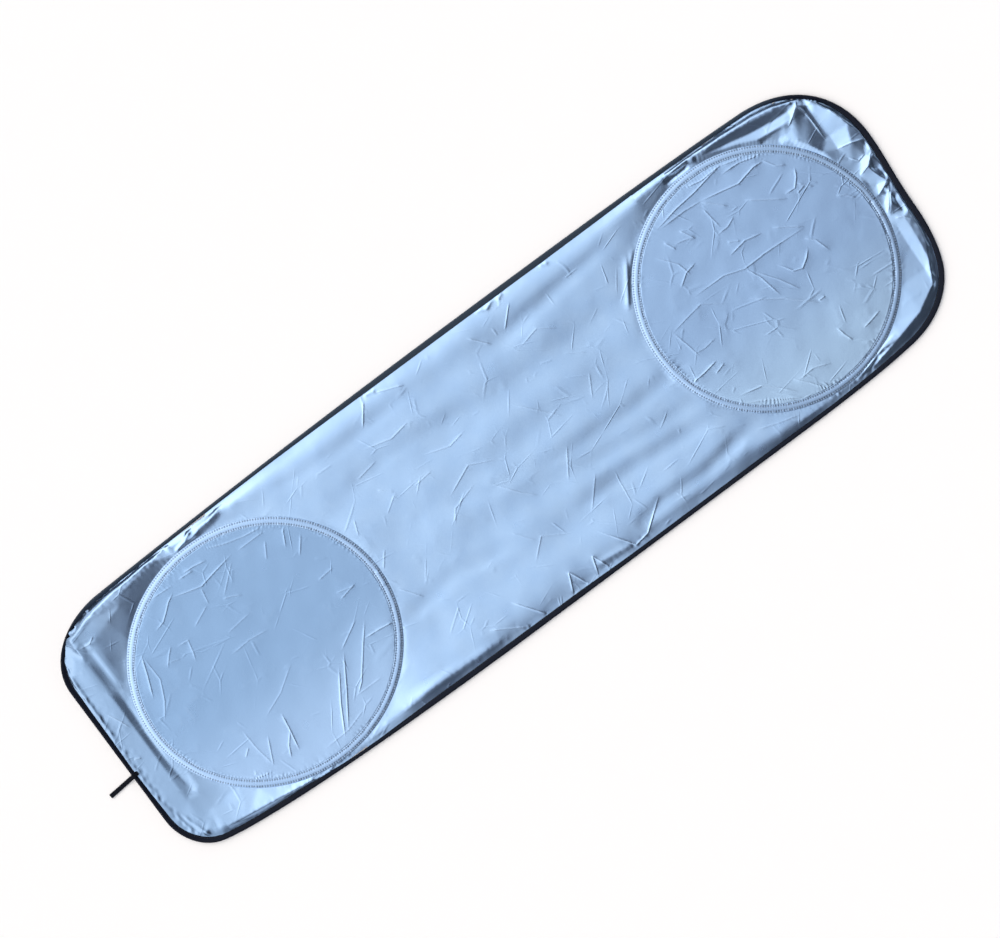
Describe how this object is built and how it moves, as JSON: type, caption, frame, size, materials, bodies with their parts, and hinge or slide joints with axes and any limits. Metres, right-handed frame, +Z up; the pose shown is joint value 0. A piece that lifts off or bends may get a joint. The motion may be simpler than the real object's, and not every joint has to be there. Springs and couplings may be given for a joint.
{
  "type": "car sunshade",
  "caption": "Pop-up windscreen sunshade: a silver sheet in a taped wire frame, with large sewn-in wire hoops near its ends and an elastic closing strap.",
  "frame": {"origin": "middle of the footprint, at the level of the surface that the shade lies on", "axes": "+X along the length, away from the end with the strap, +Y across the width, +Z up from the silver face"},
  "size_m": [1.5462, 0.46, 0.0107],
  "materials": {
    "silver_cloth": "satin silver-blue coating on thin polyester",
    "silver_band": "satin silver-blue coating, double stitched",
    "black_tape": "matt woven tape",
    "black_elastic": "ribbed woven elastic",
    "spring_steel": "bright drawn wire",
    "crimped_brass": "crimped tube"
  },
  "bodies": {
    "root": {"reflective_panel": "silver_cloth", "edge_binding": "black_tape", "frame_wire": "spring_steel", "frame_wire_sleeve": "crimped_brass", "fold_strap": "black_elastic", "left_ring_channel": "silver_band", "left_ring_wire": "spring_steel", "left_ring_sleeve": "crimped_brass", "right_ring_channel": "silver_band", "right_ring_wire": "spring_steel", "right_ring_sleeve": "crimped_brass"}
  },
  "joints": []
}
